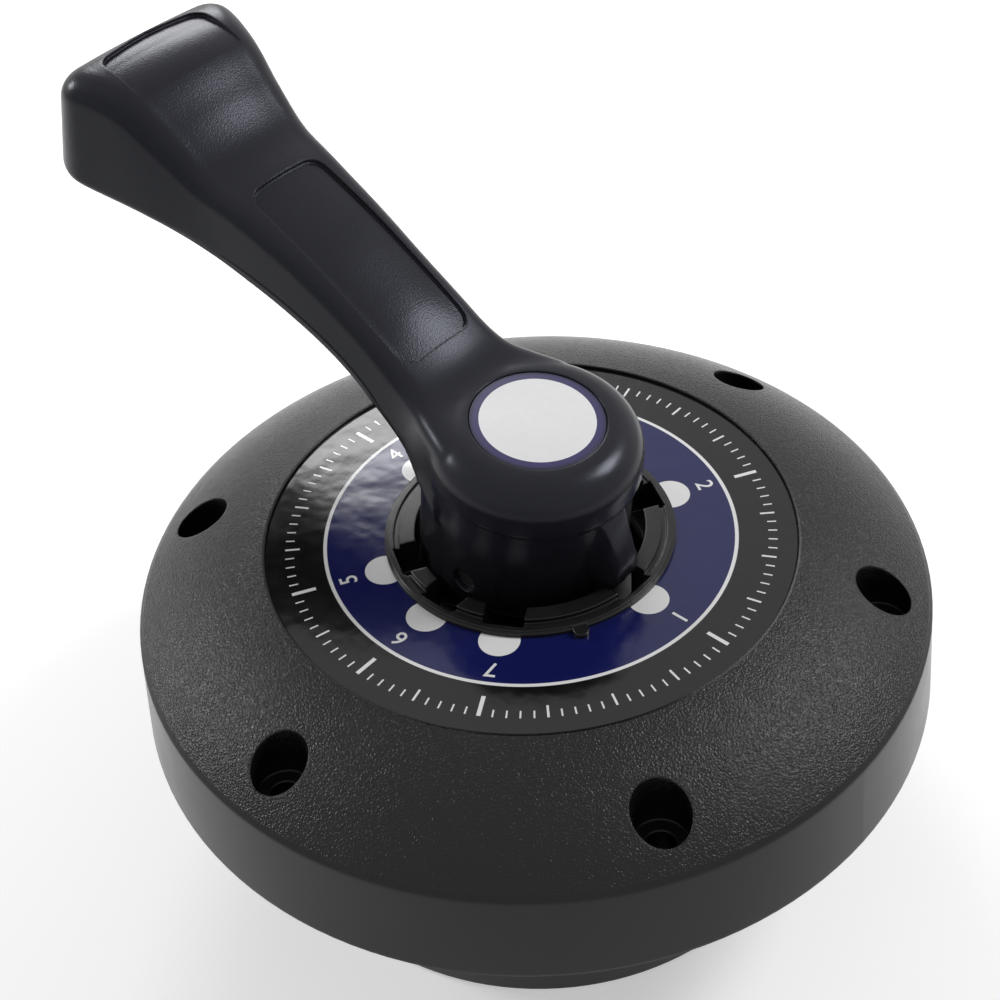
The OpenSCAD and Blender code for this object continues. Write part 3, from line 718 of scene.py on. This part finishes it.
class Finish:
    """A node material with a few short ways to add and join nodes."""

    def __init__(self, name, **sockets):
        self.material = bpy.data.materials.new(name)
        self.material.use_nodes = True
        self.tree = self.material.node_tree
        self.shader = self.tree.nodes["Principled BSDF"]
        for socket, value in sockets.items():
            self.shader.inputs[socket.replace("_", " ")].default_value = value
        self.coords = self.tree.nodes.new("ShaderNodeTexCoord").outputs["Object"]

    def node(self, kind, **settings):
        """Adds a shader node, with its settings."""
        made = self.tree.nodes.new("ShaderNode" + kind)
        for key, value in settings.items():
            setattr(made, key, value)
        return made

    def join(self, output, target):
        """Links an output to a socket."""
        self.tree.links.new(output, target)

    def math(self, operation, a, b=0.0):
        """Sum, product or the like of two values, each a number or an output."""
        made = self.node("Math", operation=operation)
        for socket, value in zip(made.inputs, (a, b)):
            if isinstance(value, (int, float)):
                socket.default_value = value
            else:
                self.join(value, socket)
        return made.outputs[0]

    def opposite(self, value):
        """1 where a value is 0, and 0 where it is 1."""
        return self.math("SUBTRACT", 1.0, value)

    def distance(self, x, y):
        """How far a point is from the origin of two axes."""
        return self.math("SQRT", self.math("ADD", self.math("MULTIPLY", x, x),
                                           self.math("MULTIPLY", y, y)))

    def noise(self, scale, detail=2.0, roughness=0.5):
        """Soft cloudy pattern from 0 to 1."""
        made = self.node("TexNoise")
        self.join(self.coords, made.inputs["Vector"])
        made.inputs["Scale"].default_value = scale
        made.inputs["Detail"].default_value = detail
        made.inputs["Roughness"].default_value = roughness
        return made.outputs["Fac"]

    def cells(self, scale):
        """Rounded cells, for a leathery grain."""
        made = self.node("TexVoronoi", feature="SMOOTH_F1")
        self.join(self.coords, made.inputs["Vector"])
        made.inputs["Scale"].default_value = scale
        made.inputs["Smoothness"].default_value = 0.6
        return made.outputs["Distance"]

    def between(self, value, low, high):
        """A value from 0 to 1 mapped to a range."""
        made = self.node("MapRange")
        self.join(value, made.inputs["Value"])
        made.inputs["To Min"].default_value = low
        made.inputs["To Max"].default_value = high
        return made.outputs["Result"]

    def step(self, value, edge, width):
        """0 below an edge and 1 above it, over a narrow width, both in millimetres."""
        made = self.node("MapRange")
        self.join(value, made.inputs["Value"])
        made.inputs["From Min"].default_value = (edge - width / 2) * MM
        made.inputs["From Max"].default_value = (edge + width / 2) * MM
        return made.outputs["Result"]

    def blend(self, factor, a, b):
        """Mix of two colours, each a constant or an output."""
        made = self.node("Mix", data_type="RGBA")
        self.join(factor, made.inputs[0])
        for socket, value in ((made.inputs[6], a), (made.inputs[7], b)):
            if isinstance(value, tuple):
                socket.default_value = value
            else:
                self.join(value, socket)
        return made.outputs[2]

    def paint(self, output):
        """Sets the base colour."""
        self.join(output, self.shader.inputs["Base Color"])

    def rough(self, output):
        """Sets the roughness."""
        self.join(output, self.shader.inputs["Roughness"])

    def bump(self, height, distance, strength, under=None):
        """Relief of a height in metres, on top of another one."""
        made = self.node("Bump")
        made.inputs["Strength"].default_value = strength
        made.inputs["Distance"].default_value = distance
        self.join(height, made.inputs["Height"])
        if under is not None:
            self.join(under, made.inputs["Normal"])
        return made.outputs["Normal"]

    def eased_edges(self, radius):
        """Shading as if sharp edges had a radius."""
        made = self.node("Bevel", samples=6)
        if isinstance(radius, float):
            made.inputs["Radius"].default_value = radius
        else:
            self.join(radius, made.inputs["Radius"])
        return made.outputs["Normal"]

    def surface(self, normal):
        """Sets the relief of the surface."""
        self.join(normal, self.shader.inputs["Normal"])

    def split(self, vector=None):
        """The three coordinates of a point, in metres, or of another vector."""
        made = self.node("SeparateXYZ")
        self.join(self.coords if vector is None else vector, made.inputs[0])
        return made.outputs

    def radius_from_axis(self):
        """Distance of a point from the part's axis."""
        x, y, _ = self.split()
        return self.distance(x, y)


def rgb(r, g, b):
    """Opaque colour."""
    return (r, g, b, 1)


# Where a finish changes on its piece, in millimetres
DOME_IN = 66.8
DOME_OUT = 99.5
DOME_LOW = 25.6
CREASE_IN = 97.5
CREASE_LOW = 21.5
LEVER_ROOT_X = -24
DISC_R = 13.9
# Where the medallion's ring turns darker, as painted shade at the disc's edge
RING_PAINTED_SHADE_R = 15.4


def cover_plastic():
    """Black moulded plastic, grained on the dome and smooth elsewhere."""
    f = Finish("cover_plastic", IOR=1.5, Specular_IOR_Level=0.25)
    r = f.radius_from_axis()
    z = f.split()[2]
    dome = f.math("MULTIPLY", f.step(z, DOME_LOW, 0.6),
                  f.math("MULTIPLY", f.step(r, DOME_IN, 0.3),
                         f.opposite(f.step(r, DOME_OUT, 1))))
    grain = f.math("ADD", f.math("MULTIPLY", f.cells(1700), 0.5), f.noise(2200, 1.5))
    grain = f.math("MULTIPLY", grain, dome)
    crease = f.math("MULTIPLY", f.step(r, CREASE_IN, 1), f.step(z, CREASE_LOW, 3))
    f.paint(f.blend(f.noise(60, 4), rgb(0.005, 0.005, 0.0054), rgb(0.008, 0.008, 0.0085)))
    f.rough(f.between(f.noise(90, 5), 0.2, 0.3))
    f.surface(f.bump(grain, 0.00025, 0.9,
                     f.bump(f.noise(35, 2), 0.0004, 0.12,
                            f.eased_edges(f.between(crease, 0.0009, 0.0022)))))
    return f.material


def handle_plastic():
    """Black plastic, finely grained on top of the lever and smooth on its sides and the hub. The
    lever's top is painted lighter and its sides darker, as painted light and shade.
    """
    # The blue tint of the gloss is a painted reflection of a cool window light.
    f = Finish("handle_plastic", IOR=1.5, Specular_IOR_Level=0.22, Specular_Tint=(0.8, 0.83, 1, 1))
    up = f.node("Attribute", attribute_name="upward").outputs["Fac"]
    lever = f.opposite(f.step(f.split()[0], LEVER_ROOT_X, 6))
    grained = f.math("MULTIPLY", lever, up)
    fine = f.math("ADD", f.noise(2400, 1.5), f.math("MULTIPLY", f.cells(2000), 0.4))
    # Painted light and shade: the lever's sides get a darker colour and its top a lighter one with
    # a random tone, as light falls on them.
    side = f.math("MULTIPLY", lever, f.opposite(up))
    painted_top_light = f.blend(f.noise(70, 4), rgb(0.0115, 0.0115, 0.0145), rgb(0.0155, 0.0155, 0.0195))
    f.paint(f.blend(side, painted_top_light, rgb(0.0035, 0.0035, 0.0042)))
    f.rough(f.math("ADD", f.between(f.noise(120, 5), 0.21, 0.28), f.math("MULTIPLY", lever, 0.03)))
    f.surface(f.bump(f.math("MULTIPLY", fine, grained), 0.00005, 0.8,
                     f.bump(f.noise(40, 2), 0.0004, 0.1, f.eased_edges(0.0008))))
    return f.material


def collar_plastic():
    """Glossy black plastic with light scuffs."""
    f = Finish("collar_plastic", IOR=1.5, Specular_IOR_Level=0.3)
    f.paint(f.blend(f.noise(80, 4), rgb(0.008, 0.008, 0.009), rgb(0.014, 0.014, 0.015)))
    f.rough(f.between(f.noise(160, 6, 0.65), 0.16, 0.3))
    f.surface(f.bump(f.noise(90, 2), 0.0002, 0.12, f.eased_edges(0.0005)))
    return f.material


def dial_film():
    """Printed and laminated label: a black outer band, a white line, a navy ring, white spots."""
    f = Finish("dial_film", IOR=1.5, Specular_IOR_Level=0.42)
    r = f.radius_from_axis()
    ink = f.blend(f.step(r, BAND_IN, 0.1), rgb(0.006, 0.009, 0.085), rgb(0.003, 0.003, 0.003))
    line = f.math("MULTIPLY", f.step(r, LINE_IN, 0.1), f.opposite(f.step(r, LINE_OUT, 0.1)))
    x, y, _ = f.split()
    spots = None
    for angle in POSITIONS:
        dx = f.math("SUBTRACT", x, SPOT_PLACE_R * MM * cos(radians(angle)))
        dy = f.math("SUBTRACT", y, SPOT_PLACE_R * MM * sin(radians(angle)))
        spot = f.opposite(f.step(f.distance(dx, dy), SPOT_R, 0.1))
        spots = spot if spots is None else f.math("MAXIMUM", spots, spot)
    white = f.math("MAXIMUM", line, spots)
    f.paint(f.blend(white, ink, rgb(0.82, 0.82, 0.82)))
    f.rough(f.between(f.noise(220, 4), 0.1, 0.17))
    wrinkles = f.math("ADD", f.noise(48, 3, 0.55), f.math("MULTIPLY", f.noise(200, 3), 0.1))
    f.surface(f.bump(wrinkles, 0.0006, 0.5))
    return f.material


def print_ink():
    """White ink with a slightly uneven gloss."""
    f = Finish("print_ink", IOR=1.5, Coat_Weight=0.5, Coat_Roughness=0.06)
    f.paint(f.blend(f.noise(900, 3), rgb(0.76, 0.76, 0.76), rgb(0.84, 0.84, 0.84)))
    f.rough(f.between(f.noise(400, 3), 0.16, 0.26))
    return f.material


def medallion_film():
    """White printed disc with a navy ring, painted darker towards its edge as shade."""
    f = Finish("medallion_film", IOR=1.5, Specular_IOR_Level=0.3)
    tilt = f.node("Mapping", vector_type="POINT")
    f.join(f.coords, tilt.inputs["Vector"])
    tilt.inputs["Rotation"].default_value = (0, radians(-HANDLE_TILT), 0)
    tilt.inputs["Location"].default_value = (PIN_Z * MM * sin(radians(HANDLE_TILT)), 0, 0)
    x, y, _ = f.split(tilt.outputs[0])
    r = f.distance(x, y)
    white = f.blend(f.noise(500, 3), rgb(0.8, 0.8, 0.81), rgb(0.86, 0.86, 0.87))
    # Painted shade: the ring's outer part is darker, as shade at the disc's edge.
    ring = f.blend(f.step(r, RING_PAINTED_SHADE_R, 0.5), rgb(0.043, 0.038, 0.115), rgb(0.024, 0.023, 0.062))
    f.paint(f.blend(f.step(r, DISC_R, 0.1), white, ring))
    f.rough(f.between(f.noise(300, 4), 0.34, 0.44))
    f.surface(f.bump(f.noise(150, 2), 0.0001, 0.1))
    return f.material


def rubber():
    """Matt black seal rubber."""
    f = Finish("seal_rubber", IOR=1.5, Specular_IOR_Level=0.3)
    f.paint(f.blend(f.noise(300, 5), rgb(0.009, 0.009, 0.009), rgb(0.02, 0.02, 0.02)))
    f.rough(f.between(f.noise(500, 4), 0.5, 0.68))
    f.surface(f.bump(f.noise(1500, 3), 0.00008, 0.3, f.eased_edges(0.0003)))
    return f.material


def steel():
    """Dull stainless steel, its colour painted dark as shade, as where the pin's end sits in its
    bore.
    """
    f = Finish("stainless", Metallic=1.0)
    # Painted shade: a dark colour for the steel, as shade at the pin's end.
    f.paint(f.blend(f.noise(200, 4), rgb(0.09, 0.09, 0.09), rgb(0.16, 0.16, 0.16)))
    f.rough(f.between(f.noise(700, 6, 0.7), 0.34, 0.5))
    f.surface(f.bump(f.noise(3000, 2), 0.00003, 0.3, f.eased_edges(0.0002)))
    return f.material


def bearing_plastic():
    """Off-white slippery plastic."""
    f = Finish("bearing_plastic", IOR=1.5, Subsurface_Weight=0.05)
    f.paint(f.blend(f.noise(250, 4), rgb(0.72, 0.71, 0.66), rgb(0.8, 0.79, 0.75)))
    f.rough(f.between(f.noise(400, 4), 0.34, 0.46))
    f.surface(f.bump(f.noise(900, 3), 0.00006, 0.25, f.eased_edges(0.0003)))
    return f.material


def key_plastic():
    """Black plastic of the key, with faint moulding marks."""
    f = Finish("key_plastic", IOR=1.5, Specular_IOR_Level=0.4)
    f.paint(f.blend(f.noise(60, 4), rgb(0.009, 0.009, 0.01), rgb(0.014, 0.014, 0.015)))
    f.rough(f.between(f.noise(100, 5), 0.24, 0.38))
    f.surface(f.bump(f.noise(45, 2), 0.0003, 0.12, f.eased_edges(0.0006)))
    return f.material


def dress(thing, material):
    """Gives an object one finish, in every slot it has."""
    if not thing.material_slots:
        thing.data.materials.append(material)
    for place in thing.material_slots:
        place.material = material


finishes = {
    cover_plastic(): ["cover"],
    collar_plastic(): ["index_collar"],
    dial_film(): ["position_label"],
    rubber(): ["cover_seal", "upper_stem_seal", "lower_stem_seal", "key_seal"],
    steel(): ["neck_washer", "wear_plate", "cup_washer", "key_spring", "handle_pin"],
    bearing_plastic(): ["stem_bushing", "spring_slip_washer", "slip_washer"],
    key_plastic(): ["key"],
}
for finish, names in finishes.items():
    for name in names:
        dress(nodes[name], finish)
dress(lever_handle, handle_plastic())
dress(cap_disc, medallion_film())
white_ink = print_ink()
dress(numbers, white_ink)
dress(scale, white_ink)


# ---------------------------------------------------------------- stage, light and camera

def seen_directly(tree):
    """1 for the rays that the camera, a gloss or clear matter sends out, and 0 for the rest."""
    path = tree.nodes.new("ShaderNodeLightPath")
    seen = path.outputs["Is Camera Ray"]
    for ray in ("Is Glossy Ray", "Is Transmission Ray"):
        most = tree.nodes.new("ShaderNodeMath")
        most.operation = "MAXIMUM"
        tree.links.new(seen, most.inputs[0])
        tree.links.new(path.outputs[ray], most.inputs[1])
        seen = most.outputs[0]
    return seen


def seen_as_white(name, colour, glow):
    """Pale stage material. Camera, glossy and transmission rays see it lit up to white."""
    material = bpy.data.materials.new(name)
    material.use_nodes = True
    tree = material.node_tree
    tree.nodes.clear()
    out = tree.nodes.new("ShaderNodeOutputMaterial")
    diffuse = tree.nodes.new("ShaderNodeBsdfDiffuse")
    diffuse.inputs["Color"].default_value = colour
    light = tree.nodes.new("ShaderNodeEmission")
    strength = tree.nodes.new("ShaderNodeMath")
    strength.operation = "MULTIPLY"
    strength.inputs[1].default_value = glow
    both = tree.nodes.new("ShaderNodeAddShader")
    join = tree.links.new
    join(seen_directly(tree), strength.inputs[0])
    join(strength.outputs[0], light.inputs["Strength"])
    join(diffuse.outputs[0], both.inputs[0])
    join(light.outputs[0], both.inputs[1])
    join(both.outputs[0], out.inputs["Surface"])
    return material


FLOOR_Z = cad_box[0][2] - 0.0002
LAMP_TARGET = (0, 0, 0.04)
CAMERA_AIM = (-0.02567, 0.01627, 0.025)
CAMERA_DISTANCE = 0.499
CAMERA_LENS = 67.32


def stage_floor():
    """Pale floor just under the part."""
    bm = bmesh.new()
    bmesh.ops.create_grid(bm, x_segments=1, y_segments=1, size=3)
    bmesh.ops.translate(bm, vec=(0, 0, FLOOR_Z), verts=bm.verts)
    thing = drawn(bm, "floor")
    thing.data.materials.append(seen_as_white("pale_floor", rgb(0.8, 0.8, 0.8), 0.45))


def soft_lamp(name, place, size, power):
    """Rectangular lamp that points at the middle of the part."""
    data = bpy.data.lights.new(name, "AREA")
    data.shape = "RECTANGLE"
    data.size, data.size_y = size
    data.energy = power
    thing = placed(name, data)
    thing.location = place
    aim = Vector(LAMP_TARGET) - Vector(place)
    thing.rotation_euler = aim.to_track_quat("-Z", "Y").to_euler()


def room(strength):
    """Even light from all round, seen as white where it is seen directly."""
    world = bpy.data.worlds.new("room")
    bpy.context.scene.world = world
    world.use_nodes = True
    tree = world.node_tree
    back = tree.nodes["Background"]
    back.inputs["Color"].default_value = rgb(1, 1, 1)
    level = tree.nodes.new("ShaderNodeMapRange")
    level.inputs["To Min"].default_value = strength
    level.inputs["To Max"].default_value = 1.0
    tree.links.new(seen_directly(tree), level.inputs["Value"])
    tree.links.new(level.outputs[0], back.inputs["Strength"])


def main_camera():
    """Camera at 45 degrees round from the front and 42 degrees up, with a slight roll."""
    data = bpy.data.cameras.new("camera")
    data.sensor_width = 36
    data.lens = CAMERA_LENS
    data.clip_start = 0.01
    thing = placed("camera", data)
    bpy.context.scene.camera = thing
    azimuth, height, roll = radians(-45.5), radians(42.41), radians(-4.10)
    back = Vector((cos(height) * cos(azimuth), cos(height) * sin(azimuth), sin(height)))
    right = Vector((-sin(azimuth), cos(azimuth), 0))
    up = back.cross(right)
    turned_right = right * cos(roll) + up * sin(roll)
    turned_up = -right * sin(roll) + up * cos(roll)
    thing.matrix_world = Matrix((turned_right, turned_up, back)).transposed().to_4x4()
    thing.location = Vector(CAMERA_AIM) + back * CAMERA_DISTANCE


stage_floor()
room(0.22)
soft_lamp("window_back", (-0.62, 0.42, 0.5), (0.34, 0.26), 2.5)
soft_lamp("window_right", (0.4, 0.52, 0.66), (0.3, 0.26), 4.4)
soft_lamp("window_left", (-0.77, -0.36, 0.43), (0.24, 0.2), 3.3)
main_camera()
bpy.context.scene.view_settings.view_transform = "Standard"
